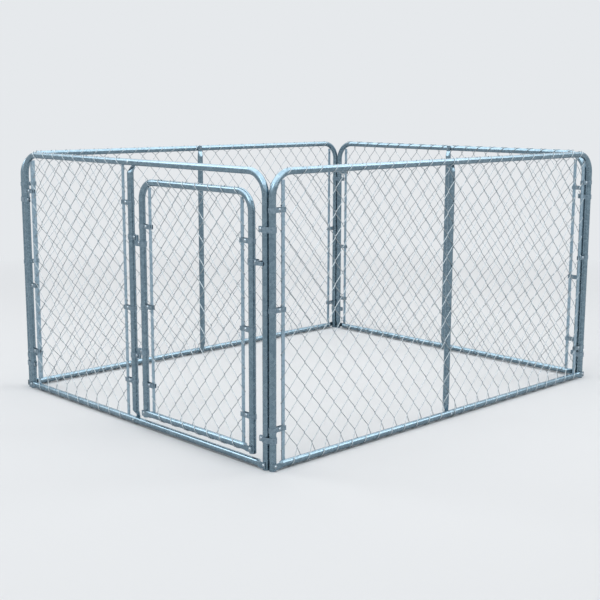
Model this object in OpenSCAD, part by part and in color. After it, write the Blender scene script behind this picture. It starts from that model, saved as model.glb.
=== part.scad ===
// Outdoor dog kennel run: four chain-link panels of bent galvanised tube, clamped at
// their corners, with a hinged gate and a fork latch in the front panel.
// The origin is on the ground at the middle of the run. +Z is up and the gate faces -Y.

/* [Panels] */
// Outside length of the front and back panels
front_len = 1829; // [1600:1:3000]
// Outside length of the two side panels
side_len = 2286; // [1500:1:3600]
// Height of the panels above the ground
panel_h = 1219; // [1000:1:1850]
// Outside diameter of the tube that is bent into hoops
tube_d = 30; // [25:0.5:40]
// Wall of every tube
tube_wall = 1.2; // [0.8:0.1:2.5]
// Centre-line radius of the bends at a panel's top corners
bend_r = 100; // [80:1:115]

/* [Bottom rails, braces and divider] */
// Outside diameter of the bottom rails
rail_d = 30; // [25:0.5:40]
// Height of a bottom rail's underside above the foot of its hoop
rail_lift = 5; // [4:0.5:40]
// Outside diameter of the mid braces
brace_d = 30; // [25:0.5:40]
// Thickness of a flattened tube end
tongue_t = 3.2; // [2.4:0.1:5]
// Width of a flattened tube end
tongue_w = 26; // [16:1:30]
// Reach of a flattened end past its bolt
tongue_reach = 13; // [9:0.5:15]
// Length over which a tube narrows from round to flat
crimp_len = 27; // [15:1:50]
// Space between a crimp and the tube that its flat end laps
crimp_clear = 3; // [2:0.5:10]

/* [Chain link] */
// Diameter of the mesh wire
wire_d = 3; // [2:0.1:4]
// Width of a diamond before it is evened out over a panel
mesh_w = 128; // [100:1:200]
// Height of a diamond before it is evened out over a panel
mesh_h = 128; // [100:1:200]
// Turn of a wire's end round its rail, in degrees
hook_turn = 300; // [200:5:330]

/* [Tension bars and bands] */
// Width of a tension bar
bar_w = 16; // [10:0.5:25]
// Thickness of a tension bar
bar_t = 4.8; // [3:0.1:6]
// Distance from an upright's axis to the middle of its tension bar
bar_offset = 57; // [50:1:80]
// Thickness of a tension band
band_t = 1.6; // [1.2:0.1:3]
// Height of a tension band
band_h = 20; // [12:1:30]
// Height of a side panel's lowest bands above the ground
band_low = 170; // [165:1:250]
// Height of a side panel's middle bands as a share of the panel's height
band_mid_share = 0.54; // [0.52:0.005:0.6]
// Depth of a side panel's highest bands below its top
band_drop = 164; // [130:1:220]
// Height of the front and back panels' middle bands as a share of the panel's height
front_band_share = 0.445; // [0.4:0.005:0.48]
// Gap in height between the outer bands of two neighbouring panels
band_step = 12; // [2:1:40]

/* [Corner clamps] */
// Angle between the gate panel and the line through the two posts of a corner
corner_turn = 10; // [0:1:20]
// Thickness of a clamp strap
clamp_t = 2.5; // [2:0.1:4]
// Height of a clamp strap
clamp_h = 24; // [16:1:40]
// Space between the two ears of a clamp
clamp_slot = 4; // [2:0.5:10]
// Reach of a clamp's ears past their bolt
clamp_ear = 8; // [7:0.5:15]
// Height of the lower clamps above the ground
clamp_low = 128; // [60:1:140]
// Depth of the upper clamps below the panels' top
clamp_drop = 240; // [230:1:400]

/* [Gate] */
// Distance from the divider's axis to the front panel's right post
gate_opening = 898; // [700:1:1000]
// Distance from the divider's axis to the gate's hinge upright
hinge_span = 84; // [84:1:140]
// Distance from the gate's latch upright to the front panel's right post
latch_gap = 83; // [76:1:120]
// Gap between the front panel's bottom rail and the gate's foot
gate_gap = 15; // [6:1:80]
// Depth of the gate's top below the panels' top
gate_drop = 83; // [60:1:200]
// Centre-line radius of the bends at the gate's top corners
gate_bend_r = 80; // [60:1:110]
// Height of the lower hinge above the gate's foot
hinge_low = 277; // [220:1:320]
// Depth of the upper hinge below the gate's top
hinge_drop = 266; // [240:1:320]
// Depth of the latch below the gate's top
latch_drop = 292; // [250:1:400]
// Height of the gate's lowest bands above its foot
gate_band_low = 155; // [90:1:200]
// Depth of the gate's highest bands below its top
gate_band_drop = 211; // [130:1:215]

/* [Hinges and latch] */
// Thickness of the hinge straps and of the latch collar
strap_t = 2.5; // [2:0.1:4]
// Height of the hinge straps and of the latch collar
strap_h = 24; // [18:1:36]
// Thickness of the pintle and eye blocks held in the straps
block_t = 8; // [6:0.5:12]
// Diameter of the hinge pin
pin_d = 12; // [8:0.5:14]
// Outside diameter of the eye that turns on the pin
eye_d = 22; // [20:0.5:28]
// Thickness of the fork's root
fork_root_t = 10; // [8:0.5:14]
// Thickness of a fork prong
prong_t = 4; // [3:0.5:6]
// Height of the fork
fork_h = 16; // [12:1:20]
// Reach of the prongs past the post's axis
prong_reach = 6; // [3:0.5:6.5]
// Diameter of the bolt that the fork turns on
pivot_d = 8; // [6:0.5:9]
// Gap between the lifting fork and the collar
fork_clear = 1.5; // [1:0.5:4]
// Gap between a prong and the post
prong_clear = 3; // [2:0.5:4]

/* [Fasteners and clearances] */
// Diameter of the carriage bolts
bolt_d = 6; // [5:0.5:6.5]
// Diameter of a carriage bolt's domed head
head_d = 14; // [12:0.5:16]
// Height of a carriage bolt's domed head
head_h = 3.5; // [2.5:0.1:5]
// Width of a nut across its flats
nut_w = 10; // [9:0.5:12]
// Thickness of a nut
nut_h = 5; // [4:0.5:7]
// Length of bolt that shows past its nut
bolt_tail = 2; // [1:0.5:6]
// Reach of a foot screw inside its post
screw_reach = 6; // [4:0.5:9]
// Radial clearance of a bolt in its hole
bolt_clear = 0.3; // [0.2:0.05:0.5]
// Gap between a bent or clamped piece and the tube under it
seat = 0.3; // [0.2:0.05:0.5]
// Gap between crossing mesh wires
wire_gap = 0.2; // [0.1:0.05:0.4]
// Radial clearance of a turning fit
run_clear = 0.05; // [0.03:0.01:0.08]

/* [Hidden] */
$fn = 48;
eps = 1;

tube_r = tube_d / 2;
rail_r = rail_d / 2;
brace_r = brace_d / 2;
hole_d = bolt_d + 2 * bolt_clear;

// Post axes and panel planes: the two posts of a corner stand side by side, as close
// together as a tension band between them allows
front_post_x = front_len / 2 - tube_r;
side_post_y = side_len / 2 - tube_r;
post_pitch = tube_d + band_t + 2 * seat;
plane_x = front_post_x + post_pitch * cos(corner_turn);
plane_y = side_post_y + post_pitch * sin(corner_turn);

// Bottom rails: the flattened ends lap the outside of the posts
rail_z = rail_lift + rail_r;
rail_out = tongue_t + seat;
rail_tongue = rail_r - tongue_t / 2;
lap_flat = max(tube_r, rail_r) + crimp_clear;

// Mesh: two layers of zigzag wires, with edge wires laid over the tension bars
layer_y = (wire_d + wire_gap) / 2;
edge_y = max(bar_t / 2 + wire_gap + wire_d / 2, layer_y + wire_d + wire_gap);
net_half = layer_y + wire_d / 2;
knee_lap = 0.7 * wire_d;
hook_clear = seat + wire_d + seat;
net_inset = bar_offset - bar_w / 2;

// Braces stand against the inner face of the mesh and lap the inner faces of the rails
brace_y = net_half + seat + brace_r;
top_lap_y = tube_r + seat + tongue_t / 2;
low_lap_y = rail_r - rail_out + seat + tongue_t / 2;
top_rail_z = panel_h - tube_r;

// Tension bands: two ears hold the bar and the edge wire between them
band_slot = 2 * (edge_y + wire_d / 2 + seat);
ear_end = bar_offset + bar_w / 2 + band_t;
ear_y = band_slot / 2 + band_t;
band_bolt_x = (tube_r + band_t + bar_offset - bar_w / 2) / 2;
side_bands = [band_low, band_mid_share * panel_h, panel_h - band_drop];
front_bands = [side_bands[0] + band_h + band_step, front_band_share * panel_h,
               side_bands[2] - band_h - band_step];

// Corner clamps: the ears reach far enough for the bolt's head to clear the strap
clamp_reach = tube_r + seat + clamp_t;
clamp_face = clamp_slot / 2 + clamp_t;
clamp_bolt_x = post_pitch / 2 + clamp_reach + head_d / 2 + seat;
clamp_heights = [clamp_low, panel_h - clamp_drop];

// Gate: its frame, hinges and latch, from the opening in the front panel
divider_x = front_post_x - gate_opening;
gate_left_x = divider_x + hinge_span;
gate_right_x = front_post_x - latch_gap;
gate_mid_x = (gate_left_x + gate_right_x) / 2;
gate_len = gate_right_x - gate_left_x + tube_d;
gate_lift = rail_z + rail_r + gate_gap;
gate_h = panel_h - gate_lift - gate_drop;
gate_bands = [gate_lift + gate_band_low, gate_lift + (gate_band_low + gate_h - gate_band_drop) / 2,
              gate_lift + gate_h - gate_band_drop];
pin_reach = hinge_span / 2;
pin_len = strap_h + bolt_tail;
strap_slot = block_t + 2 * seat;
strap_face = strap_slot / 2 + strap_t;
strap_ear_end = pin_reach - eye_d / 2;
strap_bolt_x = (tube_r + strap_t + strap_ear_end) / 2;
low_hinge_z = gate_lift + hinge_low;
high_hinge_z = gate_lift + gate_h - hinge_drop;
latch_z = gate_lift + gate_h - latch_drop;
pivot_reach = tube_r + seat + strap_t + fork_h / 2 + fork_clear;
collar_slot = fork_root_t + 2 * seat;
collar_face = collar_slot / 2 + strap_t;
prong_y = tube_r + prong_clear;
fork_len = latch_gap - pivot_reach + prong_reach;
bridge_x = norm([pivot_d, strap_h / 2]) + fork_clear;

tube_colour = [0.60, 0.66, 0.71];
wire_colour = [0.80, 0.83, 0.82];
strap_colour = [0.55, 0.62, 0.68];
bolt_colour = [0.66, 0.69, 0.71];

// Places: each panel is drawn in its own plane, with its outside towards -Y

module on_front() { translate([0, -plane_y, 0]) children(); }

module on_right() { rotate([0, 0, 90]) translate([0, -plane_x, 0]) children(); }

module on_back() { rotate([0, 0, 180]) translate([0, -plane_y, 0]) children(); }

module on_left() { rotate([0, 0, -90]) translate([0, -plane_x, 0]) children(); }

module on_gate() { on_front() translate([gate_mid_x, 0, gate_lift]) children(); }

// Draws the children at both ends of a span, mirrored so that each faces inwards
module at_both_ends(x0, x1) {
    translate([x0, 0, 0]) children();
    translate([x1, 0, 0]) mirror([1, 0, 0]) children();
}

module at_heights(list) {
    for (z = list) translate([0, 0, z]) children();
}

// Draws the children midway between a corner's posts: local X runs from the gate or back
// panel's post to the side panel's post, and -Y is outside
module at_corner(sx, sy) {
    translate([sx * (front_post_x + plane_x) / 2, sy * (side_post_y + plane_y) / 2, 0])
        rotate([0, 0, atan2(-sy * sin(corner_turn), sx * cos(corner_turn))])
            rotate([sx * sy > 0 ? 180 : 0, 0, 0]) children();
}

// Tubes

module round_bar(d, len) { cylinder(d = d, h = len); }

// The solid outline of a hoop: two uprights, two bends and a top rail
module hoop_outline(len, h, bend, d, foot) {
    axis_x = len / 2 - tube_r;
    straight = h - tube_r - bend;
    for (side = [-1, 1]) {
        translate([side * axis_x, 0, -foot]) round_bar(d, straight + foot);
        translate([side * (axis_x - bend), 0, straight])
            rotate([90, side > 0 ? 0 : -90, 0])
                rotate_extrude(angle = 90) translate([bend, 0]) circle(d = d);
    }
    translate([bend - axis_x, 0, h - tube_r]) rotate([0, 90, 0]) round_bar(d, 2 * (axis_x - bend));
}

// A bent hoop, drilled outside for the screws of its bottom rail and across for any bolts
module hoop(len, h, bend, foot_hole_z, top_holes) {
    difference() {
        hoop_outline(len, h, bend, tube_d, 0);
        hoop_outline(len, h, bend, tube_d - 2 * tube_wall, eps);
        for (x = [tube_r - len / 2, len / 2 - tube_r]) translate([x, 0, foot_hole_z])
            rotate([90, 0, 0]) cylinder(d = bolt_d + 2 * run_clear, h = tube_d);
        for (x = top_holes) translate([x, 0, h - tube_r]) cross_hole(tube_d);
    }
}

module cross_hole(depth) {
    translate([0, depth / 2 + eps, 0]) rotate([90, 0, 0]) cylinder(d = hole_d, h = depth + 2 * eps);
}

// A flattened tube end along +Z from its bolt, out to where the tube is round again
module crimped_end(d, shift) {
    difference() {
        translate([-tongue_w / 2, shift - tongue_t / 2, -tongue_reach])
            cube([tongue_w, tongue_t, tongue_reach + lap_flat]);
        translate([0, shift, 0]) cross_hole(tongue_t);
    }
    hull() {
        translate([-tongue_w / 2, shift - tongue_t / 2, lap_flat]) cube([tongue_w, tongue_t, eps / 10]);
        translate([0, 0, lap_flat + crimp_len - eps / 10]) cylinder(d = d, h = eps / 10, $fn = 32);
    }
}

// A tube along +Z with both ends flattened, drilled across at the given heights
module crimped_tube(d, span, low_shift, high_shift, holes) {
    crimped_end(d, low_shift);
    translate([0, 0, span]) mirror([0, 0, 1]) crimped_end(d, high_shift);
    end = lap_flat + crimp_len;
    difference() {
        translate([0, 0, end]) round_bar(d, span - 2 * end);
        translate([0, 0, end - eps]) round_bar(d - 2 * tube_wall, span - 2 * end + 2 * eps);
        for (z = holes) translate([0, 0, z]) cross_hole(d);
    }
}

// A bottom rail between two uprights, with holes at the given distances from its middle
module bottom_rail(len, holes) {
    span = len - tube_d;
    translate([-span / 2, -rail_out, rail_z]) rotate([0, 90, 0])
        crimped_tube(rail_d, span, -rail_tongue, -rail_tongue, [for (x = holes) x + span / 2]);
}

module brace() {
    translate([0, brace_y, rail_z])
        crimped_tube(brace_d, top_rail_z - rail_z, low_lap_y - brace_y, top_lap_y - brace_y, []);
}

// Chain link

// Diamonds across a net: a braced panel takes an even count, which keeps its middle free
function net_columns(width, braced) = braced ? 2 * round(width / mesh_w / 2) : round(width / mesh_w);

// One zigzag wire between two columns of knees, cut level at both ends
module picket(step, rows, row_h, first_right) {
    run = step + 2 * knee_lap;
    half = wire_d / 2 * sqrt(run * run + row_h * row_h) / row_h;
    knees = [for (i = [0 : rows]) [(i % 2 == 0) == first_right ? step + knee_lap : -knee_lap, i * row_h]];
    outline = concat([for (p = knees) p + [half, 0]],
                     [for (i = [rows : -1 : 0]) knees[i] - [half, 0]]);
    rotate([90, 0, 0]) linear_extrude(wire_d, center = true) polygon(outline);
}

// A wire's end bent round a rail, starting above or below the rail's axis
module rail_hook(d, start) {
    rotate([start, 0, 0]) rotate([0, 90, 0]) rotate_extrude(angle = hook_turn)
        translate([d / 2 + seat + wire_d / 2, 0]) circle(d = wire_d, $fn = 16);
}

// A net between two tension bars, hooked round a bottom rail and a top rail
module net(x0, x1, low_z, high_z, braced) {
    columns = net_columns(x1 - x0, braced);
    step = (x1 - x0) / columns / 2;
    z0 = low_z + rail_r + hook_clear;
    z1 = high_z - tube_r - hook_clear;
    rows = 2 * round((z1 - z0) / mesh_h);
    for (j = [0 : 2 * columns - 1]) {
        at_edge = j == 0 || j == 2 * columns - 1;
        y = at_edge ? -edge_y : (j % 2 == 0 ? -layer_y : layer_y);
        translate([x0 + j * step, y, z0]) picket(step, rows, (z1 - z0) / rows, j % 2 == 0);
    }
    for (j = [1 : 2 : 2 * columns - 1]) {
        translate([x0 + j * step, -rail_out, low_z]) rail_hook(rail_d, 180);
        translate([x0 + j * step, 0, high_z]) rail_hook(tube_d, 0);
    }
}

// Tension bars and bands

// Height at which a bar beside a bend meets the bend's inner face
function bar_top(h, bend) = h - tube_r - bend
    + sqrt(pow(bend - tube_r, 2) - pow(bend - bar_offset + bar_w / 2, 2)) - seat;

module tension_bar(z0, z1) {
    translate([bar_offset - bar_w / 2, -bar_t / 2, z0]) cube([bar_w, bar_t, z1 - z0]);
}

// A strap round an upright, with two ears towards +X and a bolt through them
module strap(t, h, slot, end, bolt_x, d_hole) {
    difference() {
        union() {
            cylinder(r = tube_r + seat + t, h = h, center = true);
            translate([0, -slot / 2 - t, -h / 2]) cube([end, slot + 2 * t, h]);
        }
        cylinder(r = tube_r + seat, h = h + 2 * eps, center = true);
        translate([0, -slot / 2, -h / 2 - eps]) cube([end + eps, slot, h + 2 * eps]);
        translate([bolt_x, slot / 2 + t + eps, 0]) rotate([90, 0, 0])
            cylinder(d = d_hole, h = slot + 2 * t + 2 * eps);
    }
}

module tension_band() { strap(band_t, band_h, band_slot, ear_end, band_bolt_x, hole_d); }

// Fasteners: a domed head bears on the face at y0 and its shank runs along +Y to the tip

module domed_screw(y0, tip, d) {
    dome_r = (head_d * head_d / 4 + head_h * head_h) / (2 * head_h);
    translate([0, y0, 0]) rotate([-90, 0, 0]) {
        cylinder(d = d, h = tip - y0);
        intersection() {
            translate([0, 0, dome_r - head_h]) sphere(r = dome_r);
            translate([0, 0, -head_h]) cylinder(d = head_d, h = head_h);
        }
    }
}

// A bolt whose nut bears on the face at y1
module carriage_bolt(y0, y1, d) { domed_screw(y0, y1 + nut_h + bolt_tail, d); }

module hex_nut(y1, d) {
    translate([0, y1, 0]) rotate([-90, 0, 0]) difference() {
        cylinder(d = nut_w * d / bolt_d * 2 / sqrt(3), h = nut_h, $fn = 6);
        translate([0, 0, -eps]) cylinder(d = d + 2 * run_clear, h = nut_h + 2 * eps);
    }
}

// Clamps: each is one strap round both posts of a corner, with two ears on the side of the
// gate or back panel

// A long round shape about both posts of a corner; local X joins the posts
module post_pair(r, h) {
    for (side = [-1, 1]) translate([side * post_pitch / 2, 0, 0]) cylinder(r = r, h = h, center = true);
    translate([-post_pitch / 2, -r, -h / 2]) cube([post_pitch, 2 * r, h]);
}

module clamp() {
    ear_end = clamp_bolt_x + clamp_ear;
    difference() {
        union() {
            post_pair(clamp_reach, clamp_h);
            translate([-ear_end, -clamp_face, -clamp_h / 2]) cube([ear_end, 2 * clamp_face, clamp_h]);
        }
        post_pair(tube_r + seat, clamp_h + 2 * eps);
        translate([-ear_end - eps, -clamp_slot / 2, -clamp_h]) cube([ear_end, clamp_slot, 2 * clamp_h]);
        at_clamp_bolt() cross_hole(2 * clamp_face);
    }
}

// Moves a fastener along Y into a clamp's ears
module at_clamp_bolt() { translate([-clamp_bolt_x, 0, 0]) children(); }

module corner_clamps(sx, sy) { at_heights(clamp_heights) at_corner(sx, sy) clamp(); }

module at_every_clamp() {
    for (sx = [-1, 1], sy = [-1, 1]) at_heights(clamp_heights) at_corner(sx, sy) at_clamp_bolt() children();
}

// Hinges: local X runs from the strapped upright towards the pin

module hinge_strap() {
    strap(strap_t, strap_h, strap_slot, strap_ear_end, strap_bolt_x, hole_d);
}

// The block that a hinge strap grips, bored for the strap's bolt
module hinge_block(end) {
    start = tube_r + 2 * seat;
    difference() {
        translate([start, -block_t / 2, -strap_h / 2]) cube([end - start, block_t, strap_h]);
        translate([strap_bolt_x, 0, 0]) cross_hole(block_t);
    }
}

// A block with a hinge pin that stands out above it
module pintle() {
    union() {
        hinge_block(pin_reach);
        translate([pin_reach, 0, -strap_h / 2]) cylinder(d = pin_d, h = strap_h + pin_len);
    }
}

// A block with an eye that turns on the pin
module hinge_eye() {
    difference() {
        union() {
            hinge_block(pin_reach);
            translate([pin_reach, 0, 0]) cylinder(d = eye_d, h = strap_h - 2 * seat, center = true);
        }
        translate([pin_reach, 0, 0]) cylinder(r = pin_d / 2 + run_clear, h = strap_h, center = true);
    }
}

// The post half of both hinges: the low pin points up and the high one points down
module at_post_hinges() {
    on_front() translate([divider_x, 0, 0]) {
        translate([0, 0, low_hinge_z]) children();
        translate([0, 0, high_hinge_z]) mirror([0, 0, 1]) children();
    }
}

// The gate half of both hinges, next to the post half along the pin
module at_gate_hinges() {
    on_front() translate([gate_left_x, 0, 0]) mirror([1, 0, 0]) {
        translate([0, 0, low_hinge_z + strap_h]) children();
        translate([0, 0, high_hinge_z - strap_h]) children();
    }
}

module at_latch() { on_front() translate([gate_right_x, 0, latch_z]) children(); }

module at_pivot() { at_latch() translate([pivot_reach, 0, 0]) children(); }

// Panel sets, which repeat on each panel

module end_bands(x0, x1, heights) { at_both_ends(x0, x1) at_heights(heights) tension_band(); }

module band_bolt_set(x0, x1, heights) {
    at_both_ends(x0, x1) at_heights(heights)
        translate([band_bolt_x, 0, 0]) carriage_bolt(-ear_y, ear_y, bolt_d);
}

module band_nut_set(x0, x1, heights) {
    at_both_ends(x0, x1) at_heights(heights)
        translate([band_bolt_x, 0, 0]) hex_nut(ear_y, bolt_d);
}

module plain_mesh(len) {
    inset = tube_r + net_inset;
    net(-len / 2 + inset, len / 2 - inset, rail_z, top_rail_z, true);
}

module plain_bars(len) {
    at_both_ends(-len / 2 + tube_r, len / 2 - tube_r)
        tension_bar(rail_z + rail_r + seat, bar_top(panel_h, bend_r));
}

module plain_hoop(len, top_holes) { hoop(len, panel_h, bend_r, rail_z, top_holes); }

// Screws of a bottom rail's two ends, each through a flat end into the outer wall of a post
module foot_screws(len) {
    for (side = [-1, 1]) translate([side * (len / 2 - tube_r), 0, rail_z])
        domed_screw(-tube_r - rail_out, screw_reach - tube_r, bolt_d);
}

// Bolts of an upright brace or divider, through the top rail and the bottom rail
module lap_bolts(x) {
    translate([x, 0, top_rail_z]) carriage_bolt(-tube_r - seat, top_lap_y + tongue_t / 2, bolt_d);
    translate([x, 0, rail_z]) carriage_bolt(-rail_out - rail_r - seat, low_lap_y + tongue_t / 2, bolt_d);
}

module lap_nuts(x) {
    translate([x, 0, top_rail_z]) hex_nut(top_lap_y + tongue_t / 2, bolt_d);
    translate([x, 0, rail_z]) hex_nut(low_lap_y + tongue_t / 2, bolt_d);
}

// Nodes: hoops

module front_hoop() { color(tube_colour) on_front() plain_hoop(front_len, [divider_x]); }

module right_hoop() { color(tube_colour) on_right() plain_hoop(side_len, [0]); }

module back_hoop() { color(tube_colour) on_back() plain_hoop(front_len, [0]); }

module left_hoop() { color(tube_colour) on_left() plain_hoop(side_len, [0]); }

module gate_hoop() { color(tube_colour) on_gate() hoop(gate_len, gate_h, gate_bend_r, rail_z, []); }

// Nodes: rails, braces and divider

module front_bottom_rail() { color(tube_colour) on_front() bottom_rail(front_len, [divider_x]); }

module right_bottom_rail() { color(tube_colour) on_right() bottom_rail(side_len, [0]); }

module back_bottom_rail() { color(tube_colour) on_back() bottom_rail(front_len, [0]); }

module left_bottom_rail() { color(tube_colour) on_left() bottom_rail(side_len, [0]); }

module gate_bottom_rail() { color(tube_colour) on_gate() bottom_rail(gate_len, []); }

module right_brace() { color(tube_colour) on_right() brace(); }

module back_brace() { color(tube_colour) on_back() brace(); }

module left_brace() { color(tube_colour) on_left() brace(); }

module gate_divider() {
    color(tube_colour) on_front() translate([divider_x, 0, rail_z])
        crimped_tube(tube_d, top_rail_z - rail_z, low_lap_y, top_lap_y, []);
}

// Nodes: chain link

module front_mesh() {
    color(wire_colour) on_front()
        net(-front_post_x + net_inset, divider_x - net_inset, rail_z, top_rail_z, false);
}

module right_mesh() { color(wire_colour) on_right() plain_mesh(side_len); }

module back_mesh() { color(wire_colour) on_back() plain_mesh(front_len); }

module left_mesh() { color(wire_colour) on_left() plain_mesh(side_len); }

module gate_mesh() {
    inset = tube_r + net_inset;
    color(wire_colour) on_gate()
        net(-gate_len / 2 + inset, gate_len / 2 - inset, rail_z, gate_h - tube_r, false);
}

// Nodes: tension bars and bands

module front_tension_bars() {
    low = rail_z + rail_r + seat;
    color(strap_colour) on_front() {
        translate([-front_post_x, 0, 0]) tension_bar(low, bar_top(panel_h, bend_r));
        translate([divider_x, 0, 0]) mirror([1, 0, 0]) tension_bar(low, panel_h - tube_d - seat);
    }
}

module right_tension_bars() { color(strap_colour) on_right() plain_bars(side_len); }

module back_tension_bars() { color(strap_colour) on_back() plain_bars(front_len); }

module left_tension_bars() { color(strap_colour) on_left() plain_bars(side_len); }

module gate_tension_bars() {
    color(strap_colour) on_gate() at_both_ends(-gate_len / 2 + tube_r, gate_len / 2 - tube_r)
        tension_bar(rail_z + rail_r + seat, bar_top(gate_h, gate_bend_r));
}

module front_tension_bands() {
    color(strap_colour) on_front() end_bands(-front_post_x, divider_x, front_bands);
}

module right_tension_bands() {
    color(strap_colour) on_right() end_bands(-side_post_y, side_post_y, side_bands);
}

module back_tension_bands() {
    color(strap_colour) on_back() end_bands(-front_post_x, front_post_x, front_bands);
}

module left_tension_bands() {
    color(strap_colour) on_left() end_bands(-side_post_y, side_post_y, side_bands);
}

module gate_tension_bands() {
    color(strap_colour) on_front() end_bands(gate_left_x, gate_right_x, gate_bands);
}

module band_bolts() {
    color(bolt_colour) {
        on_front() band_bolt_set(-front_post_x, divider_x, front_bands);
        on_right() band_bolt_set(-side_post_y, side_post_y, side_bands);
        on_back() band_bolt_set(-front_post_x, front_post_x, front_bands);
        on_left() band_bolt_set(-side_post_y, side_post_y, side_bands);
    }
}

module band_nuts() {
    color(bolt_colour) {
        on_front() band_nut_set(-front_post_x, divider_x, front_bands);
        on_right() band_nut_set(-side_post_y, side_post_y, side_bands);
        on_back() band_nut_set(-front_post_x, front_post_x, front_bands);
        on_left() band_nut_set(-side_post_y, side_post_y, side_bands);
    }
}

// Nodes: corner clamps

module front_right_clamps() { color(strap_colour) corner_clamps(1, -1); }

module front_left_clamps() { color(strap_colour) corner_clamps(-1, -1); }

module back_right_clamps() { color(strap_colour) corner_clamps(1, 1); }

module back_left_clamps() { color(strap_colour) corner_clamps(-1, 1); }

module clamp_bolts() {
    color(bolt_colour) at_every_clamp() carriage_bolt(-clamp_face, clamp_face, bolt_d);
}

module clamp_nuts() { color(bolt_colour) at_every_clamp() hex_nut(clamp_face, bolt_d); }

// Nodes: screws and bolts of the rails, braces and divider

module panel_bolts(len, brace_x) {
    foot_screws(len);
    lap_bolts(brace_x);
}

module frame_bolts() {
    color(bolt_colour) {
        on_front() panel_bolts(front_len, divider_x);
        on_right() panel_bolts(side_len, 0);
        on_back() panel_bolts(front_len, 0);
        on_left() panel_bolts(side_len, 0);
    }
}

module frame_nuts() {
    color(bolt_colour) {
        on_front() lap_nuts(divider_x);
        on_right() lap_nuts(0);
        on_back() lap_nuts(0);
        on_left() lap_nuts(0);
    }
}

module gate_bolts() {
    color(bolt_colour) {
        on_front() band_bolt_set(gate_left_x, gate_right_x, gate_bands);
        on_gate() foot_screws(gate_len);
    }
}

module gate_nuts() {
    color(bolt_colour) on_front() band_nut_set(gate_left_x, gate_right_x, gate_bands);
}

// Nodes: hinges

module hinge_post_straps() { color(strap_colour) at_post_hinges() hinge_strap(); }

module hinge_pintles() { color(strap_colour) at_post_hinges() pintle(); }

module hinge_gate_straps() { color(strap_colour) at_gate_hinges() hinge_strap(); }

module hinge_eyes() { color(strap_colour) at_gate_hinges() hinge_eye(); }

module hinge_bolt() {
    translate([strap_bolt_x, 0, 0]) carriage_bolt(-strap_face, strap_face, bolt_d);
}

module hinge_nut() { translate([strap_bolt_x, 0, 0]) hex_nut(strap_face, bolt_d); }

module hinge_post_bolts() { color(bolt_colour) at_post_hinges() hinge_bolt(); }

module hinge_post_nuts() { color(bolt_colour) at_post_hinges() hinge_nut(); }

module hinge_gate_bolts() { color(bolt_colour) at_gate_hinges() hinge_bolt(); }

module hinge_gate_nuts() { color(bolt_colour) at_gate_hinges() hinge_nut(); }

// Nodes: latch

module latch_collar() {
    color(strap_colour) at_latch()
        strap(strap_t, strap_h, collar_slot, pivot_reach + pivot_d, pivot_reach, pivot_d + 2 * run_clear);
}

// A fork that straddles the front panel's right post and lifts about its pivot bolt
module latch_fork() {
    color(strap_colour) at_pivot() difference() {
        union() {
            rotate([90, 0, 0]) cylinder(d = fork_h, h = fork_root_t, center = true);
            translate([0, -fork_root_t / 2, -fork_h / 2]) cube([bridge_x + prong_t, fork_root_t, fork_h]);
            translate([bridge_x, -prong_y - prong_t, -fork_h / 2])
                cube([prong_t, 2 * (prong_y + prong_t), fork_h]);
            for (side = [-1, 1]) translate([0, side * (prong_y + prong_t / 2), 0]) prong();
        }
        rotate([90, 0, 0]) cylinder(r = pivot_d / 2 + run_clear, h = fork_h, center = true);
    }
}

// One prong of the fork, with a round tip
module prong() {
    tip = fork_len - fork_h / 2;
    translate([bridge_x, -prong_t / 2, -fork_h / 2]) cube([tip - bridge_x, prong_t, fork_h]);
    translate([tip, 0, 0]) rotate([90, 0, 0]) cylinder(d = fork_h, h = prong_t, center = true);
}

module latch_bolt() { color(bolt_colour) at_pivot() carriage_bolt(-collar_face, collar_face, pivot_d); }

module latch_nut() { color(bolt_colour) at_pivot() hex_nut(collar_face, pivot_d); }

front_hoop();
right_hoop();
back_hoop();
left_hoop();
front_bottom_rail();
right_bottom_rail();
back_bottom_rail();
left_bottom_rail();
right_brace();
back_brace();
left_brace();
gate_divider();
front_mesh();
right_mesh();
back_mesh();
left_mesh();
front_tension_bars();
right_tension_bars();
back_tension_bars();
left_tension_bars();
front_tension_bands();
right_tension_bands();
back_tension_bands();
left_tension_bands();
band_bolts();
band_nuts();
front_right_clamps();
front_left_clamps();
back_right_clamps();
back_left_clamps();
clamp_bolts();
clamp_nuts();
frame_bolts();
frame_nuts();
hinge_post_straps();
hinge_pintles();
hinge_post_bolts();
hinge_post_nuts();
gate_hoop();
gate_bottom_rail();
gate_mesh();
gate_tension_bars();
gate_tension_bands();
gate_bolts();
gate_nuts();
hinge_gate_straps();
hinge_eyes();
hinge_gate_bolts();
hinge_gate_nuts();
latch_collar();
latch_fork();
latch_bolt();
latch_nut();
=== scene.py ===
# %% [markdown]
# # A chain-link dog run
# The run is four panels of bent galvanised tube, filled with woven wire and clamped together at the
# corners, with a gate in the front panel. The tubes, straps and bolts come from the frame with their
# shapes finished. This lesson gives them their zinc finishes and weaves the wire, which is the part
# that a plain solid can't show: every wire is a flattened spiral that hooks its two neighbours.

import math

import bpy
from mathutils import Matrix, Vector


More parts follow.
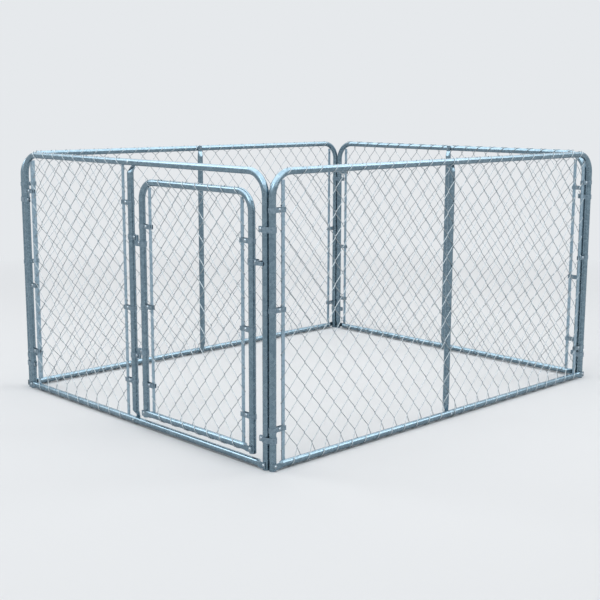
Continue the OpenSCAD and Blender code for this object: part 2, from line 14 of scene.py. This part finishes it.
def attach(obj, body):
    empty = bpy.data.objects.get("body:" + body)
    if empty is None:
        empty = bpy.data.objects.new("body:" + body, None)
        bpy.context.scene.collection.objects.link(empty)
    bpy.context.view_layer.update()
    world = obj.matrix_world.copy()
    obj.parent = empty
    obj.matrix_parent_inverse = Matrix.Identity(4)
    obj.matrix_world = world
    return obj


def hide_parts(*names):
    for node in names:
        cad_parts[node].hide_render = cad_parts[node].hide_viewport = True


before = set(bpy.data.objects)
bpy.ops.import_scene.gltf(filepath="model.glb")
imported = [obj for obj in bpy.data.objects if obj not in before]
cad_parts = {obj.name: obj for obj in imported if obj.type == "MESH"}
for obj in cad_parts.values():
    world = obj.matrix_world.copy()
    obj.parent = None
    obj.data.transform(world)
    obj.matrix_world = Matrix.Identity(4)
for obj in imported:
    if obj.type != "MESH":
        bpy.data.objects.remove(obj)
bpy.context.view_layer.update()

# %% [markdown]
# ## Sums with sockets
# A finish and a woven net are both written as sums, and a chain of Math nodes is hard to read. One
# small class holds a socket and turns +, -, *, / and friends into Math nodes, so that a rule can be
# written as it would be on paper. Every other node comes from its method `node`, which takes the
# node's type, its settings, what goes into its inputs, and the output that is wanted.

# %% A socket that can be used in sums
class Val:
    def __init__(self, tree, socket=None):
        self.tree, self.socket = tree, socket

    def node(self, kind, settings=None, sockets=None, out=0):
        made = self.tree.nodes.new(kind)
        for name, value in (settings or {}).items():
            setattr(made, name, value)
        for name, value in (sockets or {}).items():
            if isinstance(value, Val):
                self.tree.links.new(value.socket, made.inputs[name])
            else:
                made.inputs[name].default_value = value
        return Val(self.tree, made.outputs[out]) if len(made.outputs) else made

    def math(self, operation, *values):
        return self.node("ShaderNodeMath", {"operation": operation}, dict(enumerate(values)))

    def __add__(self, other): return self.math("ADD", self, other)
    def __radd__(self, other): return self.math("ADD", other, self)
    def __sub__(self, other): return self.math("SUBTRACT", self, other)
    def __rsub__(self, other): return self.math("SUBTRACT", other, self)
    def __mul__(self, other): return self.math("MULTIPLY", self, other)
    def __rmul__(self, other): return self.math("MULTIPLY", other, self)
    def __truediv__(self, other): return self.math("DIVIDE", self, other)
    def __rtruediv__(self, other): return self.math("DIVIDE", other, self)
    def __mod__(self, other): return self.math("FLOORED_MODULO", self, other)
    def __lt__(self, other): return self.math("LESS_THAN", self, other)
    def __gt__(self, other): return self.math("GREATER_THAN", self, other)
    def __abs__(self): return self.math("ABSOLUTE", self)

    def floor(self): return self.math("FLOOR", self)
    def root(self): return self.math("SQRT", self)
    def cos(self): return self.math("COSINE", self)
    def sin(self): return self.math("SINE", self)
    def arccos(self): return self.math("ARCCOSINE", self)
    def least(self, other): return self.math("MINIMUM", self, other)
    def most(self, other): return self.math("MAXIMUM", self, other)
    def within(self, low, high): return self.most(low).least(high)
    def to(self, other, share): return self + (other - self) * share


print("sums ready")

# %% [markdown]
# ## Zinc finishes
# Hot-dip zinc cools into crystals a few millimetres wide, the spangle, each a little lighter or
# darker and a little more or less glossy than the next. A flat grey would look like plastic. A
# Voronoi pattern gives the crystals, a slow noise gives the cloudy bloom that zinc gets outdoors and
# a fine noise gives the grain. All three only shift the tone, the gloss and a faint bump, as on the
# real tube. Straps, bars and bolts also get a painted highlight along their edges. Where the Bevel
# node's rounded normal departs from the flat one, the colour is lightened and the gloss raised, in
# place of the glint that a rounded edge catches.

# %% The noises and how far they reach
BLOOM_PER_METRE, GRAIN_PER_METRE = 9.0, 420.0
BLOOM_CONTRAST = 4            # steepens the slow noise into patches
BLOOM_TINT = 0.35             # how far a patch goes over to the bloom's tone
GRAIN_IN_COLOUR, GRAIN_IN_BUMP = 0.3, 0.75    # the rest comes from the crystals
CRYSTAL_ROUGH, GRAIN_ROUGH, BLOOM_ROUGH, EDGE_HIGHLIGHT_ROUGH = 0.08, 0.06, 0.08, -0.08
EDGE_HIGHLIGHT_RADIUS, EDGE_HIGHLIGHT_CONTRAST = 0.0016, 5          # the strip of painted highlight along an edge
BUMP_STRENGTH, BUMP_DISTANCE = 0.06, 0.0006
METAL_SHARE = 0.9             # a dull film keeps zinc from being wholly metallic


def colour_mix(sums, share, dark, light):
    return sums.node("ShaderNodeMix", {"data_type": "RGBA", "clamp_factor": True},
                     {"Factor": share, 6: dark, 7: light}, out=2)


def noise(sums, place, per_metre, detail, rough):
    return sums.node("ShaderNodeTexNoise", {}, {"Vector": place, "Scale": per_metre,
                                                "Detail": detail, "Roughness": rough})


print("bloom patches", round(1000 / BLOOM_PER_METRE), "mm, grains", round(1000 / GRAIN_PER_METRE, 1), "mm")

# %% A finish with spangle, bloom and painted edge highlights
def zinc(name, dark, light, bloom_tone, rough, spangle_size, edge_highlight=0.0):
    material = bpy.data.materials.new(name)
    material.use_nodes = True
    tree = material.node_tree
    sums = Val(tree)
    place = sums.node("ShaderNodeTexCoord", out="Object")
    crystal = sums.node("ShaderNodeTexVoronoi", {"feature": "F1"},
                        {"Vector": place, "Scale": 1 / spangle_size, "Randomness": 1.0}, out="Color")
    tone = sums.node("ShaderNodeSeparateColor", {}, {"Color": crystal}, out="Red")
    grain = noise(sums, place, GRAIN_PER_METRE, 2.0, 0.5)
    bloom = ((noise(sums, place, BLOOM_PER_METRE, 6.0, 0.6) - 0.5) * BLOOM_CONTRAST).within(0, 1)
    colour = colour_mix(sums, tone.to(grain, GRAIN_IN_COLOUR), dark, light)
    colour = colour_mix(sums, bloom * BLOOM_TINT, colour, bloom_tone)
    rough = rough + (tone - 0.5) * CRYSTAL_ROUGH + (grain - 0.5) * GRAIN_ROUGH + bloom * BLOOM_ROUGH
    # Painted highlight: near an edge the colour goes over to the light tone and the gloss rises.
    if edge_highlight:
        flat = sums.node("ShaderNodeNewGeometry", out="Normal")
        rounded = sums.node("ShaderNodeBevel", {"samples": 4}, {"Radius": EDGE_HIGHLIGHT_RADIUS})
        agree = sums.node("ShaderNodeVectorMath", {"operation": "DOT_PRODUCT"},
                          {0: flat, 1: rounded}, out="Value")
        edge = ((1 - agree) * EDGE_HIGHLIGHT_CONTRAST).within(0, 1)
        colour = colour_mix(sums, edge * edge_highlight, colour, light)
        rough = rough + edge * EDGE_HIGHLIGHT_ROUGH
    bump = sums.node("ShaderNodeBump", {}, {"Strength": BUMP_STRENGTH, "Distance": BUMP_DISTANCE,
                                            "Height": tone.to(grain, GRAIN_IN_BUMP)})
    shader = tree.nodes["Principled BSDF"]
    shader.inputs["Metallic"].default_value = METAL_SHARE
    for socket, value in (("Base Color", colour), ("Roughness", rough), ("Normal", bump)):
        tree.links.new(value.socket, shader.inputs[socket])
    print("finish:", name)
    return material


# %% [markdown]
# The tubes are the glossiest. Their tones are set darker and bluer than bare zinc, a painted
# reflection of a dark, bluish surround that the pale one here does not give. The paler wire, the
# tension bars, the pressed straps and the bolts were each dipped or plated on their own, so each gets
# its own tones, its own gloss and a spangle that suits its size. The three colours are a dark and a
# light crystal and the bloom.

# %% The five finishes
def rgb(r, g, b):
    """A colour given as it looks on screen, from 0 to 255."""
    def linear(c):
        c /= 255
        return c / 12.92 if c <= 0.04045 else ((c + 0.055) / 1.055) ** 2.4
    return (linear(r), linear(g), linear(b), 1.0)


# Painted reflection: the tube tones are darker and bluer than bare zinc, in place of the dark, bluish
# surroundings the posts would mirror.
tube_zinc = zinc("galvanised_tube", rgb(101, 123, 136), rgb(130, 151, 163), rgb(140, 157, 167),
                 rough=0.24, spangle_size=0.011)
wire_zinc = zinc("galvanised_wire", rgb(130, 139, 144), rgb(170, 178, 182), rgb(162, 168, 171),
                 rough=0.32, spangle_size=0.006)
# The last argument of bars, straps and bolts sets how strong the painted edge highlight is.
bar_zinc = zinc("tension_bar", rgb(126, 151, 167), rgb(166, 188, 202), rgb(162, 180, 191),
                rough=0.32, spangle_size=0.008, edge_highlight=0.4)
strap_zinc = zinc("pressed_steel", rgb(99, 120, 134), rgb(140, 159, 171), rgb(146, 161, 169),
                  rough=0.38, spangle_size=0.007, edge_highlight=0.6)
bolt_zinc = zinc("zinc_fastener", rgb(128, 141, 150), rgb(168, 179, 186), rgb(160, 169, 173),
                 rough=0.30, spangle_size=0.004, edge_highlight=0.5)

# %% [markdown]
# Each node of the frame keeps its shape and takes one of the five finishes by what it is: a tube, a
# wire net, a tension bar, a bolt or nut, and a pressed strap for everything else.

# %% Finish the tubes, straps and bolts
FINISH_BY_NAME = (("_bolt", bolt_zinc), ("_nut", bolt_zinc), ("hoop", tube_zinc), ("rail", tube_zinc),
                  ("brace", tube_zinc), ("divider", tube_zinc), ("mesh", wire_zinc), ("bars", bar_zinc))

for name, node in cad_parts.items():
    finish = next((f for word, f in FINISH_BY_NAME if word in name), strap_zinc)
    node.data.materials.clear()
    node.data.materials.append(finish)
print("finished", len(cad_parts), "nodes")

# %% [markdown]
# ## The woven net
# Chain link is made by winding a wire round a flat blade, which gives a flattened spiral, and by
# turning each new spiral into the one before it. Seen from the front, a wire zigzags between two
# columns. Its strokes to one side lie in front, the others behind, and at every knee it passes
# through the knee of its neighbour. The ends are hooked over the rails, and the first and last wire
# run round the flat tension bars.
#
# A curve drawn by hand for each wire would work, but all wires follow one rule, so a Geometry Nodes
# tree does it: one straight wire of many points, copied once per column, realised, and then bent by
# a sum in the point's number and the wire's number. Its sizes are inputs, so the same tree makes all
# five nets.

# %% The net's inputs
NET_SIZES = (("Wires", "NodeSocketInt"), ("Half rows", "NodeSocketInt"), ("Even hooks", "NodeSocketInt"),
             ("Left edge", "NodeSocketFloat"), ("Column step", "NodeSocketFloat"),
             ("Low rail", "NodeSocketFloat"), ("High rail", "NodeSocketFloat"),
             ("Low gap", "NodeSocketFloat"), ("High gap", "NodeSocketFloat"),
             ("Low rail out", "NodeSocketFloat"), ("Rail radius", "NodeSocketFloat"),
             ("Wire thickness", "NodeSocketFloat"), ("Hand", "NodeSocketFloat"),
             ("Bar thickness", "NodeSocketFloat"), ("Bolt column", "NodeSocketFloat"),
             ("Finish", "NodeSocketMaterial"))

weave = bpy.data.node_groups.new("woven_net", "GeometryNodeTree")
weave.interface.new_socket("Net", in_out="OUTPUT", socket_type="NodeSocketGeometry")
size_id = {name: weave.interface.new_socket(name, in_out="INPUT", socket_type=kind).identifier
           for name, kind in NET_SIZES}
sums = Val(weave)
size = {name: sums.node("NodeGroupInput", out=name) for name, kind in NET_SIZES}
print("net inputs:", len(size))

# %% [markdown]
# The straight wires first. `point` counts along a wire and `wire` counts the wires, both taken from
# the realised curve, so that the sums below know where they are.

# %% Straight wires
KNEE_POINTS = 8        # points on a stroke between two knees
HOOK_POINTS = 18       # points on a wire's end, from its last knee over the rail

rows, thick = size["Half rows"], size["Wire thickness"]
run = rows * KNEE_POINTS
count = run + 1 + 2 * HOOK_POINTS
straight = sums.node("GeometryNodeCurvePrimitiveLine")
straight = sums.node("GeometryNodeResampleCurve", {"mode": "COUNT"}, {"Curve": straight, "Count": count})
line = sums.node("GeometryNodeMeshLine", {}, {"Count": size["Wires"]})
wires = sums.node("GeometryNodeInstanceOnPoints", {}, {"Points": line, "Instance": straight})
wires = sums.node("GeometryNodeRealizeInstances", {}, {"Geometry": wires})
point = sums.node("GeometryNodeSplineParameter", out="Index")
wire = ((sums.node("GeometryNodeInputIndex") - point) / count + 0.25).floor()
print("straight wires:", len(weave.nodes), "nodes so far")

# %% [markdown]
# Columns. A knee reaches a little past its column, which is what hooks it into the next wire. The
# outer knees of the first and last wire reach further, round the tension bar.

# %% Columns
KNEE_OVERLAP = 0.73    # in wire thicknesses, past the column
BAR_OVERLAP = 1.2      # in wire thicknesses, past the bar's outer edge

step, left = size["Column step"], size["Left edge"]
right = left + size["Wires"] * step
overlap, past_bar = thick * KNEE_OVERLAP, thick * BAR_OVERLAP
first, last = wire < 0.5, wire > size["Wires"] - 1.5
x_left = left + wire * step - overlap - (past_bar - overlap) * first
x_right = left + (wire + 1) * step + overlap + (past_bar - overlap) * last
print("columns:", len(weave.nodes), "nodes so far")

# %% [markdown]
# Strokes and knees. `turn` is 0 where the knee is on the wire's left column and 1 on its right, so
# it flips with every half row and every wire, and neighbours meet. Near a knee the depth falls to
# nothing on a square root, which rounds the bend. Close to the net's edges the strokes spread apart
# and leave room for the tension bar between them.

# %% Strokes and knees
STROKE_DEPTH = 0.683   # in wire thicknesses, from the net's middle to a stroke
BAR_DEPTH = 0.6        # in wire thicknesses, from the bar's face to a stroke
BAR_START = 0.030      # metres from the net's edge to where the strokes begin to spread
BAR_SPREAD = 0.012     # metres over which they spread
BEND_SHARE = 0.08      # share of a stroke that is bent at each knee

low, high = size["Low rail"], size["High rail"]
low_knee, high_knee = low + size["Low gap"], high - size["High gap"]
rise = (high_knee - low_knee) / rows
along = ((point - HOOK_POINTS) / KNEE_POINTS).most(0).least(rows)
half = along.floor().least(rows - 1)
share = 0.5 - 0.5 * ((along - half) * math.pi).cos()
turn = (half + wire + size["Even hooks"]) % 2
stroke_x = x_left.to(x_right, turn + share - 2 * turn * share)
stroke_z = low_knee + (half + share) * rise
to_edge = (stroke_x - left).least(right - stroke_x)
over_bar = ((BAR_START - to_edge) / BAR_SPREAD).within(0, 1)
depth = (thick * STROKE_DEPTH).to(size["Bar thickness"] / 2 + thick * BAR_DEPTH, over_bar)
bend = (share.least(1 - share) / BEND_SHARE).least(1).root()
stroke_y = size["Hand"] * (2 * turn - 1) * depth * bend
print("strokes and knees:", len(weave.nodes), "nodes so far")

# %% [markdown]
# Hooked ends. From its last knee a wire runs straight to the rail, touches it where the line is
# tangent to the round, and follows it over to the far side. All the way it goes on sideways at an
# even slope, so that it crosses the rail on a slant. The two wires of a column hook from the front
# and from behind, pass each other below the rail and lie side by side on the crest. Where a brace is
# bolted to the middle of the rail they stop short and leave room for the bolt.

# %% Which end, which rail and which side
HOOK_SLANT = 0.012     # metres past its column where a wire crosses the rail's crest

past = (HOOK_POINTS - point).most(point - HOOK_POINTS - run).most(0)
is_hook = past > 0.5
at_top = point > run * 0.5 + HOOK_POINTS
up = 2 * at_top - 1
rail_z = low.to(high, at_top)
rail_y = size["Low rail out"] * (at_top - 1)
gap = size["Low gap"].to(size["High gap"], at_top)
knee_turn = (rows * at_top + wire + size["Even hooks"]) % 2
end_turn = 1 - knee_turn
column = wire + end_turn
is_bolt = abs(column - size["Bolt column"]) < 0.5
beyond = HOOK_SLANT * (1 - 2 * is_bolt)
side = size["Hand"] * up * (1 - 2 * end_turn)
print("ends:", len(weave.nodes), "nodes so far")

# %% The way over the rail
HOOK_RUN = 1 / 3                 # share of an end's points before the wire meets the rail
HOOK_END = math.radians(203)     # how far round the rail the wire goes
HOOK_LIFT = 0.56                 # in wire thicknesses, from the rail's face to the wire's middle

reach = past / (HOOK_POINTS * HOOK_RUN)
hook_r = size["Rail radius"] + thick * HOOK_LIFT
touch = (hook_r / gap).arccos()
angle = touch.to(HOOK_END, ((reach - 1) / (1 / HOOK_RUN - 1)).most(0))
run_in = reach.least(1)
climb = (gap - hook_r * angle.cos()) * run_in
line_in = (gap * gap - hook_r * hook_r).root()
path = line_in * run_in + (angle - touch) * hook_r
crest = line_in + (math.pi - touch) * hook_r
crest_x = left + column * step - (1 - 2 * end_turn) * beyond
hook_x = x_left.to(x_right, knee_turn).to(crest_x, path / crest)
hook_y = (rail_y + side * hook_r * angle.sin()) * run_in
hook_z = rail_z - up * (gap - climb)
print("hooks:", len(weave.nodes), "nodes so far")

# %% [markdown]
# Every point now has a place on a stroke and one on a hook, and takes the one that fits its number.
# A round profile swept along the wires makes them solid. Eight sides are enough on a wire this thin.

# %% Round the wires and give them their finish
WIRE_SIDES = 8

place = sums.node("ShaderNodeCombineXYZ", {}, {"X": stroke_x.to(hook_x, is_hook),
                                               "Y": stroke_y.to(hook_y, is_hook),
                                               "Z": stroke_z.to(hook_z, is_hook)})
wires = sums.node("GeometryNodeSetPosition", {}, {"Geometry": wires, "Position": place})
profile = sums.node("GeometryNodeCurvePrimitiveCircle", {}, {"Resolution": WIRE_SIDES, "Radius": thick / 2})
net = sums.node("GeometryNodeCurveToMesh", {}, {"Curve": wires, "Profile Curve": profile, "Fill Caps": True})
net = sums.node("GeometryNodeSetShadeSmooth", {}, {"Geometry": net})
net = sums.node("GeometryNodeRealizeInstances", {}, {"Geometry": net})
net = sums.node("GeometryNodeSetMaterial", {}, {"Geometry": net, "Material": size["Finish"]})
sums.node("NodeGroupOutput", {}, {"Net": net})
print("net rule:", len(weave.nodes), "nodes")

# %% [markdown]
# A net is measured on the frame: its edges are the outer edges of the two tension bars, and its top
# and bottom are the axes of the rails. The tree makes it upright with its outside towards -Y, and
# then it is turned to its panel.

# %% Make one net
WIRE_THICKNESS = 0.003
NO_COLUMN = -9.0       # a column that no net has, for a rail without a brace bolt


def woven(name, panel, body, turned, wires, half_rows, gaps, hand, even_hooks=0, brace_bolt=False):
    turn_in = Matrix.Rotation(math.radians(-turned), 4, "Z")

    def upright_box(node):
        corners = [turn_in @ v.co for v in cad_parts[node].data.vertices]
        return [(min(c[i] for c in corners), max(c[i] for c in corners)) for i in range(3)]

    bars, rail, hoop = (upright_box(panel + end) for end in ("_tension_bars", "_bottom_rail", "_hoop"))
    rail_radius = (rail[2][1] - rail[2][0]) / 2
    plane = sum(bars[1]) / 2
    values = {"Wires": wires, "Half rows": half_rows, "Even hooks": even_hooks, "Left edge": bars[0][0],
              "Column step": (bars[0][1] - bars[0][0]) / wires, "Low rail": sum(rail[2]) / 2,
              "High rail": hoop[2][1] - rail_radius, "Low gap": gaps[0], "High gap": gaps[1],
              "Low rail out": plane - sum(rail[1]) / 2, "Rail radius": rail_radius,
              "Wire thickness": WIRE_THICKNESS, "Hand": hand, "Bar thickness": bars[1][1] - bars[1][0],
              "Bolt column": wires / 2 if brace_bolt else NO_COLUMN, "Finish": wire_zinc}
    maker = bpy.data.objects.new(name + "_maker", bpy.data.meshes.new(name + "_maker"))
    bpy.context.scene.collection.objects.link(maker)
    rule = maker.modifiers.new("weave", "NODES")
    rule.node_group = weave
    for label, value in values.items():
        rule[size_id[label]] = value
    bpy.context.view_layer.update()
    made = bpy.data.meshes.new_from_object(maker.evaluated_get(bpy.context.evaluated_depsgraph_get()))
    bpy.data.objects.remove(maker)
    made.transform(turn_in.inverted() @ Matrix.Translation((0, plane, 0)))
    net = bpy.data.objects.new(name, made)
    bpy.context.scene.collection.objects.link(net)
    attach(net, body)
    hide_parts(panel + "_mesh")
    diamond = round(values["Column step"] * 2000, 1)
    print(name, wires, "wires,", diamond, "mm diamonds,", len(made.polygons), "faces")


# %% [markdown]
# Five nets from one rule. On three panels the strokes in front rise to the right, seen from outside.
# On the front panel and the gate they rise to the left. The gaps are the heights from the axes of
# the low and the high rail to the nearest knees.

# %% Weave the five nets
PANEL_GAPS, GATE_GAPS = (0.056, 0.031), (0.038, 0.039)
RISE_RIGHT, RISE_LEFT = 1.0, -1.0

woven("right_net", "right", "panels", 90, 50, 22, PANEL_GAPS, RISE_RIGHT, brace_bolt=True)
woven("left_net", "left", "panels", -90, 50, 22, PANEL_GAPS, RISE_RIGHT, brace_bolt=True)
woven("back_net", "back", "panels", 180, 40, 22, PANEL_GAPS, RISE_RIGHT, brace_bolt=True)
woven("front_net", "front", "panels", 0, 18, 22, PANEL_GAPS, RISE_LEFT)
woven("gate_net", "gate", "gate", 0, 15, 20, GATE_GAPS, RISE_LEFT, even_hooks=1)

# %% [markdown]
# ## Floor, light and camera
# The run stands on a plain pale floor. A floor with an edge would cut through the picture behind the
# run, so the floor is a wide disc that fades into the colour of the surround a few metres out.

# %% Floor
PALE = rgb(230, 233, 236)
FLOOR_RADIUS, FLOOR_SIDES = 60.0, 64
FADE_START, FADE_LENGTH = 1.8, 3.6     # metres from the middle of the run

angles = [2 * math.pi * i / FLOOR_SIDES for i in range(FLOOR_SIDES)]
rim = [(FLOOR_RADIUS * math.cos(a), FLOOR_RADIUS * math.sin(a), 0) for a in angles]
floor_mesh = bpy.data.meshes.new("floor")
floor_mesh.from_pydata(rim, [], [list(range(FLOOR_SIDES))])
floor = bpy.data.objects.new("floor", floor_mesh)
bpy.context.scene.collection.objects.link(floor)

floor_finish = bpy.data.materials.new("pale_floor")
floor_finish.use_nodes = True
tree = floor_finish.node_tree
sums = Val(tree)
paint = tree.nodes["Principled BSDF"]
paint.inputs["Base Color"].default_value = rgb(226, 228, 230)
paint.inputs["Roughness"].default_value = 0.9
spot = sums.node("ShaderNodeTexCoord", out="Object")
far = sums.node("ShaderNodeVectorMath", {"operation": "LENGTH"}, {0: spot}, out="Value")
fade = ((far - FADE_START) / FADE_LENGTH).within(0, 1)
surround = sums.node("ShaderNodeEmission", {}, {"Color": PALE, "Strength": 1.0})
both = sums.node("ShaderNodeMixShader", {}, {0: fade, 1: Val(tree, paint.outputs[0]), 2: surround})
tree.links.new(both.socket, tree.nodes["Material Output"].inputs["Surface"])
floor_mesh.materials.append(floor_finish)
print("floor", 2 * FLOOR_RADIUS, "m across")

# %% [markdown]
# The surround lights matt surfaces only a little. The camera, mirrors and glass see it at its full
# pale colour, and above it grows into a bright canopy. The tops of the rails mirror that canopy and
# come out nearly white, as under an open sky, while the posts mirror the quiet floor and stay darker.

# %% Surround
AMBIENT = 0.22                            # strength for matt surfaces
CANOPY_START, CANOPY_LENGTH = 0.25, 0.4   # heights on a sphere of radius 1
CANOPY_GAIN = 1.6                         # strength that the canopy adds to the full colour

world = bpy.data.worlds.new("surround")
bpy.context.scene.world = world
world.use_nodes = True
tree = world.node_tree
sums = Val(tree)
seen = sums.node("ShaderNodeLightPath", out="Is Camera Ray")
for kind in ("Is Glossy Ray", "Is Transmission Ray"):
    seen = seen.most(sums.node("ShaderNodeLightPath", out=kind))
toward = sums.node("ShaderNodeTexCoord", out="Generated")
height = sums.node("ShaderNodeSeparateXYZ", {}, {0: toward}, out="Z")
canopy = ((height - CANOPY_START) / CANOPY_LENGTH).within(0, 1)
strength = AMBIENT + seen * (1 - AMBIENT + CANOPY_GAIN * canopy)
sky = tree.nodes["Background"]
sky.inputs["Color"].default_value = PALE
tree.links.new(strength.socket, sky.inputs["Strength"])
print("surround, up to strength", 1 + CANOPY_GAIN)

# %% [markdown]
# A very wide soft lamp hangs above the run and gives most of the light. Two small lamps add shape. A
# round rail mirrors only what lies on a cone around it, so each of the two rail directions gets a
# lamp on its own cone, which draws a bright line along the lower rails.

# %% Lamps
def lamp(name, place, aim, width, power):
    light = bpy.data.lights.new(name, "AREA")
    light.shape, light.size, light.energy = "DISK", width, power
    obj = bpy.data.objects.new(name, light)
    obj.location = place
    obj.rotation_euler = (Vector(aim) - Vector(place)).to_track_quat("-Z", "Y").to_euler()
    bpy.context.scene.collection.objects.link(obj)
    print("lamp:", name, power, "W")


lamp("overhead", (0.0, 0.0, 5.0), (0, 0, 0), width=11.5, power=390)
lamp("key", (2.0, -6.0, 5.0), (0, 0, 0.5), width=2.5, power=60)
lamp("fill", (7.0, 1.0, 3.5), (0, 0, 0.5), width=3.0, power=40)
lamp("front_rails", (-6.0, -4.2, 5.6), (0, -0.5, 0.5), width=3.0, power=90)
lamp("side_rails", (4.4, 6.2, 5.6), (0.5, 0, 0.5), width=3.0, power=90)

# %% [markdown]
# The camera stands where the rails and posts of the real run line up with the picture: a slightly
# long lens, about four metres off the near corner and a little above the top rails. `swing` turns it
# from the +Y axis towards -X, `dip` points it down, and `roll` tilts it.

# %% Camera
FOCAL_PX, WIDTH_PX, SENSOR_MM = 1110.2, 600, 36.0
SWING, DIP, ROLL = 46.10, 10.19, 0.16
CAMERA_PLACE = (4.102, -4.029, 1.475)
LENS_REACH = 200       # metres, well past the floor's rim

swing, dip, roll = (math.radians(a) for a in (SWING, DIP, ROLL))
ahead = Vector((-math.sin(swing) * math.cos(dip), math.cos(swing) * math.cos(dip), -math.sin(dip)))
across = Vector((math.cos(swing), math.sin(swing), 0))
over = across.cross(ahead)
tilted_across = across * math.cos(roll) + over * math.sin(roll)
tilted_over = over * math.cos(roll) - across * math.sin(roll)
facing = Matrix((tilted_across, tilted_over, -ahead)).transposed().to_4x4()
lens = bpy.data.cameras.new("camera")
lens.sensor_fit, lens.sensor_width = "HORIZONTAL", SENSOR_MM
lens.lens = FOCAL_PX / WIDTH_PX * SENSOR_MM
lens.clip_end = LENS_REACH
camera = bpy.data.objects.new("camera", lens)
camera.matrix_world = Matrix.Translation(CAMERA_PLACE) @ facing
bpy.context.scene.collection.objects.link(camera)
bpy.context.scene.camera = camera
bpy.context.scene.view_settings.view_transform = "Standard"
print("lens", round(lens.lens, 1), "mm")
